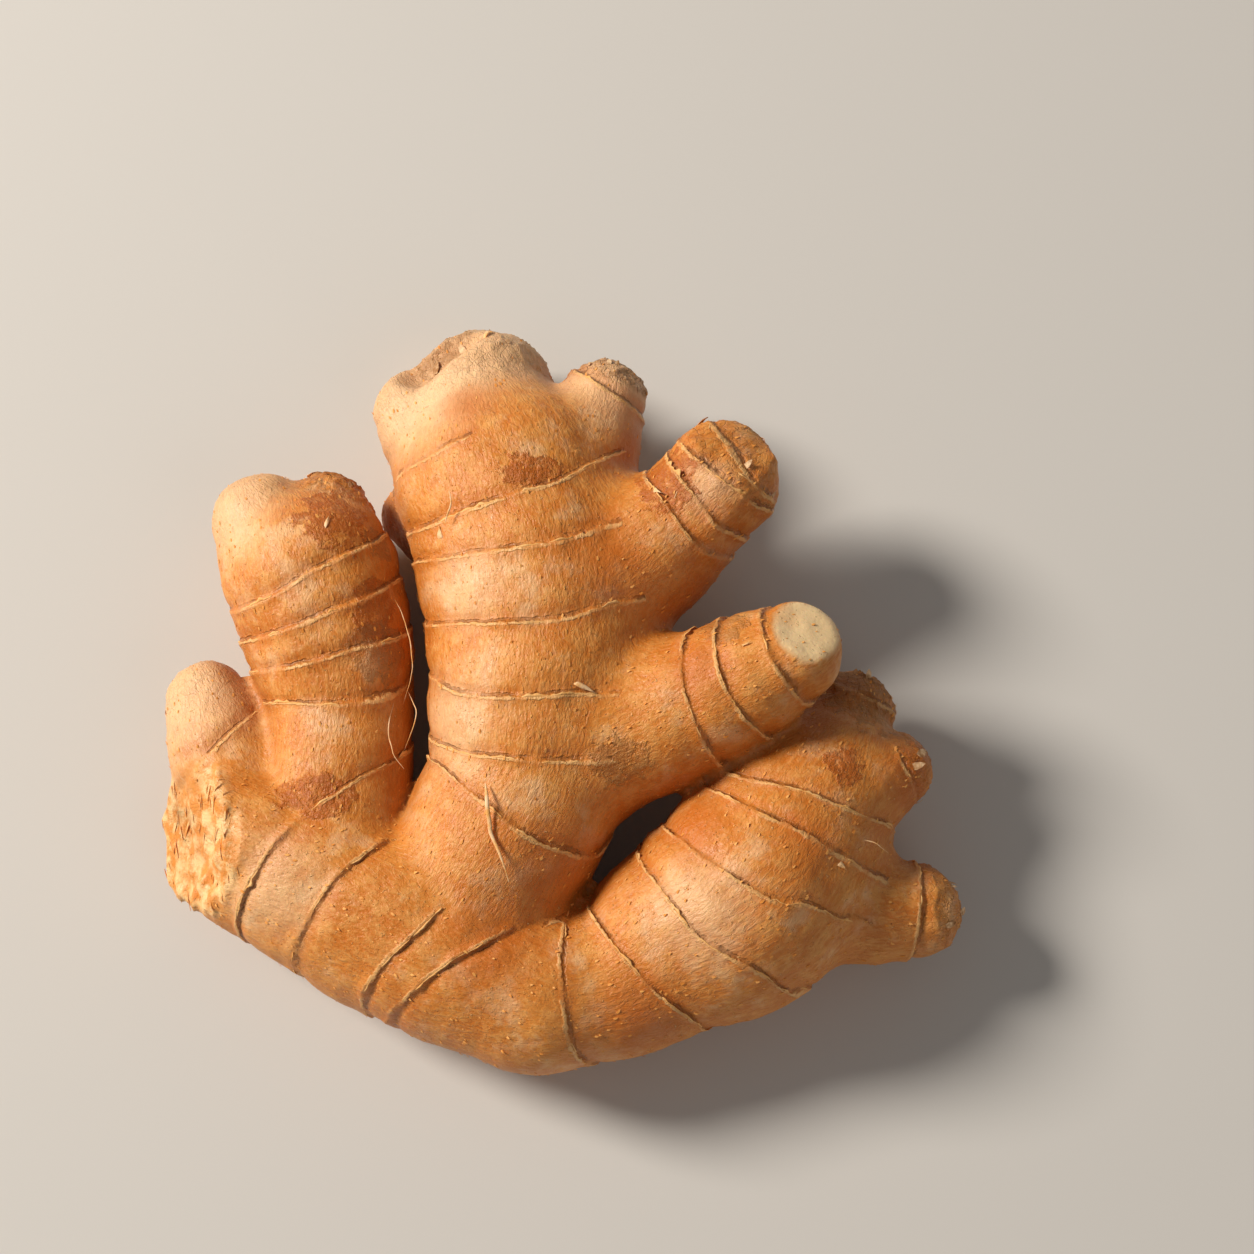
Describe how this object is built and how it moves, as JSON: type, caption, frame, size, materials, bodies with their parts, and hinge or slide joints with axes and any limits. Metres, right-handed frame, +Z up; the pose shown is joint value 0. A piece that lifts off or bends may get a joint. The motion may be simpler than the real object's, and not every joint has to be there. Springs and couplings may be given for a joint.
{
  "type": "ginger root",
  "caption": "Fresh branched ginger rhizome: a thick base with knobbly fingers spread in a fan, ring scars round each finger and broken ends.",
  "frame": {"origin": "middle of the bounding box's footprint, on the surface the root lies on", "axes": "+Z up from that surface, +X along the fan's width from the broken base end towards the side bud, +Y from the thick base towards the longest finger's crown"},
  "size_m": [0.1506, 0.1457, 0.0432],
  "materials": {
    "ginger_skin": "matt buff skin, paler where it is lit and orange-brown where it is rubbed"
  },
  "bodies": {
    "root": {"ginger_root": "ginger_skin"}
  },
  "joints": []
}
